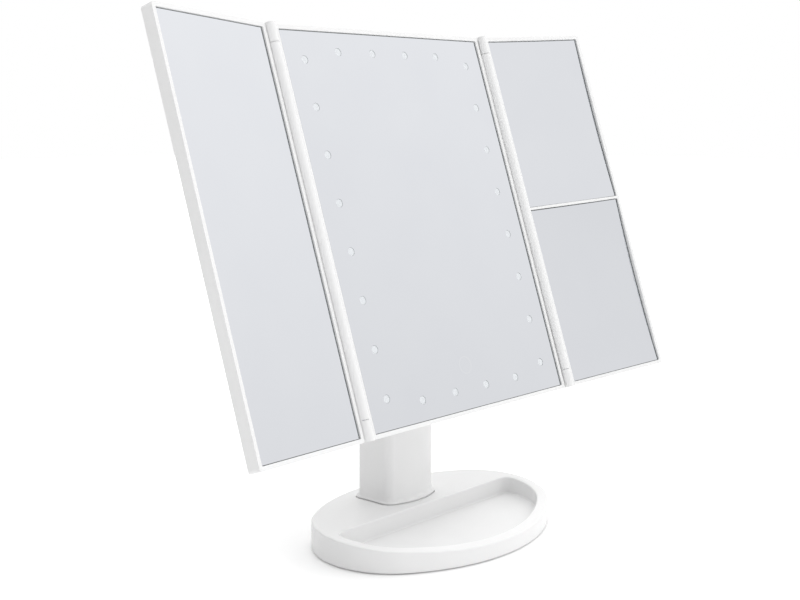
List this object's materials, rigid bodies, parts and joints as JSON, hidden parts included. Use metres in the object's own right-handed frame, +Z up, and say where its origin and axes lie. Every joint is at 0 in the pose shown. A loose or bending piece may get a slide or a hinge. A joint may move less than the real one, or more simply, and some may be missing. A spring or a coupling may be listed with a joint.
{
  "type": "trifold vanity mirror",
  "caption": "Free-standing trifold vanity mirror: tilting lit centre panel with folding side wings, one of them with magnifying mirrors, on a neck and oval tray base.",
  "frame": {"origin": "on the table, under the middle of the oval base", "axes": "+Z up; the user sits on the -Y side, with +X to the user's right"},
  "size_m": [0.3752, 0.125, 0.3215],
  "materials": {
    "white_abs": "glossy moulded ABS, white",
    "mirror_glass": "back-silvered float glass",
    "screw_steel": "zinc-plated steel",
    "weight_steel": "rolled steel",
    "foot_rubber": "matt rubber",
    "milky_polycarbonate": "milky diffusing polycarbonate",
    "board_green": "glass-fibre board, green solder mask",
    "board_white": "glass-fibre board, white solder mask",
    "led_phosphor": "yellow phosphor over a light chip",
    "black_plastic": "matt moulded plastic, black",
    "nylon": "natural nylon",
    "acetal": "white acetal",
    "foam_tape": "double-sided foam tape",
    "copper_foil": "copper foil",
    "cell_jacket": "plain printed cell jacket",
    "wire_jacket": "PVC insulation"
  },
  "bodies": {
    "stand": {"base_shell": "white_abs", "base_plate": "white_abs", "ballast_plate": "weight_steel", "base_feet": "foot_rubber", "base_screws": "screw_steel", "neck_shell": "white_abs", "neck_back": "white_abs", "neck_screws": "screw_steel", "neck_foot_screws": "screw_steel", "battery_cells": "cell_jacket", "battery_springs": "screw_steel", "battery_plates": "screw_steel", "power_board": "board_green", "usb_socket": "screw_steel", "neck_wires": "wire_jacket", "switch_body": "black_plastic", "tilt_pin": "screw_steel", "tilt_nut": "screw_steel", "tilt_washers": "nylon", "hinge_caps": "white_abs"},
    "switch": {"switch_slider": "black_plastic"},
    "battery_door": {"battery_door": "white_abs"},
    "centre_panel": {"tilt_bracket": "white_abs", "bracket_screws": "screw_steel", "rear_cover": "white_abs", "rear_screws": "screw_steel", "centre_frame": "white_abs", "centre_mirror": "mirror_glass", "centre_tape": "foam_tape", "light_guide": "milky_polycarbonate", "led_board": "board_white", "led_chips": "led_phosphor", "touch_pad": "copper_foil", "control_board": "board_green", "control_parts": "black_plastic", "panel_wires": "wire_jacket", "left_hinge_pins": "screw_steel", "right_hinge_pins": "screw_steel"},
    "left_wing": {"left_wing_frame": "white_abs", "left_wing_mirror": "mirror_glass", "left_wing_tape": "foam_tape", "left_wing_cover": "white_abs", "left_hinge_bushes": "acetal"},
    "right_wing": {"right_wing_frame": "white_abs", "right_upper_mirror": "mirror_glass", "right_lower_mirror": "mirror_glass", "right_wing_tape": "foam_tape", "right_wing_cover": "white_abs", "right_hinge_bushes": "acetal"}
  },
  "joints": [
    {"name": "mirror_tilt", "type": "hinge", "parent": "stand", "child": "centre_panel", "pos_m": [0, 0.032, 0.1718], "axis": [-1, 0, 0], "range_deg": [-19.1, 70.9]},
    {"name": "left_wing_fold", "type": "hinge", "parent": "centre_panel", "child": "left_wing", "pos_m": [-0.094, 0.00297, 0.20027], "axis": [0, 0.3272, 0.9449], "range_deg": [-10.9, 169.1]},
    {"name": "right_wing_fold", "type": "hinge", "parent": "centre_panel", "child": "right_wing", "pos_m": [0.094, 0.00297, 0.20027], "axis": [0, -0.3272, -0.9449], "range_deg": [-9.6, 170.4]},
    {"name": "battery_door_swing", "type": "hinge", "parent": "stand", "child": "battery_door", "pos_m": [0, 0.049, 0.0393], "axis": [-1, 0, 0], "range_deg": [0, 80]},
    {"name": "power_switch", "type": "slide", "parent": "stand", "child": "switch", "axis": [1, 0, 0], "range_m": [0, 0.004]}
  ]
}
